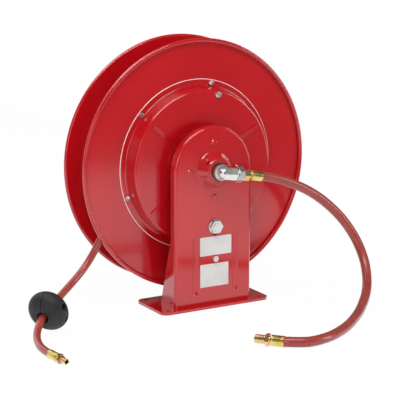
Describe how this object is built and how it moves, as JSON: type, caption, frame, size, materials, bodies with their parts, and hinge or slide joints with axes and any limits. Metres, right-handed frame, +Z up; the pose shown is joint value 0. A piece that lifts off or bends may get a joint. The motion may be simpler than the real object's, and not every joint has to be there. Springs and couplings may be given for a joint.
{
  "type": "spring-rewind hose reel",
  "caption": "Spring-rewind hose reel: steel spool and spring case on one pedestal, with a side latch, an inlet swivel and hose, a wound hose and a stop ball on its free end.",
  "frame": {"origin": "centre of the base plate's four corner holes, on its underside", "axes": "+Z up, Y along the reel's axis with the inlet side at -Y, +X to the right as seen from the inlet side"},
  "size_m": [0.8661, 0.5777, 0.612],
  "materials": {
    "red_enamel": "gloss powder coat",
    "label_film": "satin film, blank",
    "zinc_plate": "bright zinc plate",
    "steel": "bare steel",
    "bronze": "sintered bronze",
    "brass": "machined",
    "hose_rubber": "satin cover",
    "black_rubber": "matte moulded"
  },
  "bodies": {
    "frame": {"base_plate": "red_enamel", "pedestal": "red_enamel", "upper_label": "label_film", "lower_label": "label_film", "spring_arbor": "steel", "arbor_bolts": "red_enamel", "front_bush": "bronze", "rear_bush": "bronze", "latch_stud": "zinc_plate", "latch_nut": "zinc_plate", "latch_washer": "zinc_plate", "latch_spacer": "steel", "latch_clip": "steel", "latch_spring": "steel", "latch_hook_bolt": "zinc_plate", "inlet_hose": "hose_rubber", "inlet_end_ferrule": "brass", "inlet_end_fitting": "brass", "outlet_hose": "hose_rubber", "stop_ball_right": "black_rubber", "stop_ball_left": "black_rubber", "stop_ball_bolts": "zinc_plate", "outlet_ferrule": "brass", "outlet_fitting": "brass"},
    "pawl": {"latch_pawl": "zinc_plate"},
    "spool": {"front_disc": "red_enamel", "rear_disc": "red_enamel", "drum": "red_enamel", "drum_bolts": "zinc_plate", "spring_case": "red_enamel", "case_screws": "zinc_plate", "spring_anchor_bolt": "zinc_plate", "power_spring": "steel", "ratchet_wheel": "steel", "ratchet_screws": "zinc_plate", "main_shaft": "steel", "front_hub_plate": "steel", "rear_hub_plate": "steel", "hub_bolts": "zinc_plate", "shaft_washer": "zinc_plate", "shaft_nut": "zinc_plate", "riser_pipe": "steel", "hose_core": "hose_rubber", "hose_winding": "hose_rubber", "swivel_seals": "black_rubber", "swivel_snap_ring": "steel"},
    "swivel": {"swivel_elbow": "zinc_plate", "swivel_nut": "zinc_plate", "inlet_adapter": "brass", "inlet_ferrule": "brass"}
  },
  "joints": [
    {"name": "spool_spin", "type": "hinge", "parent": "frame", "child": "spool", "pos_m": [0, 0.0793, 0.32], "axis": [0, 1, 0], "continuous": true, "deforming": ["outlet_hose", "power_spring"]},
    {"name": "swivel_turn", "type": "hinge", "parent": "frame", "child": "swivel", "pos_m": [0, -0.09, 0.32], "axis": [0, 1, 0], "range_deg": [-25, 40], "deforming": ["inlet_hose"]},
    {"name": "pawl_tip", "type": "hinge", "parent": "frame", "child": "pawl", "pos_m": [0.004, -0.0105, 0.188], "axis": [0, 1, 0], "range_deg": [0, 62], "deforming": ["latch_spring"]}
  ]
}
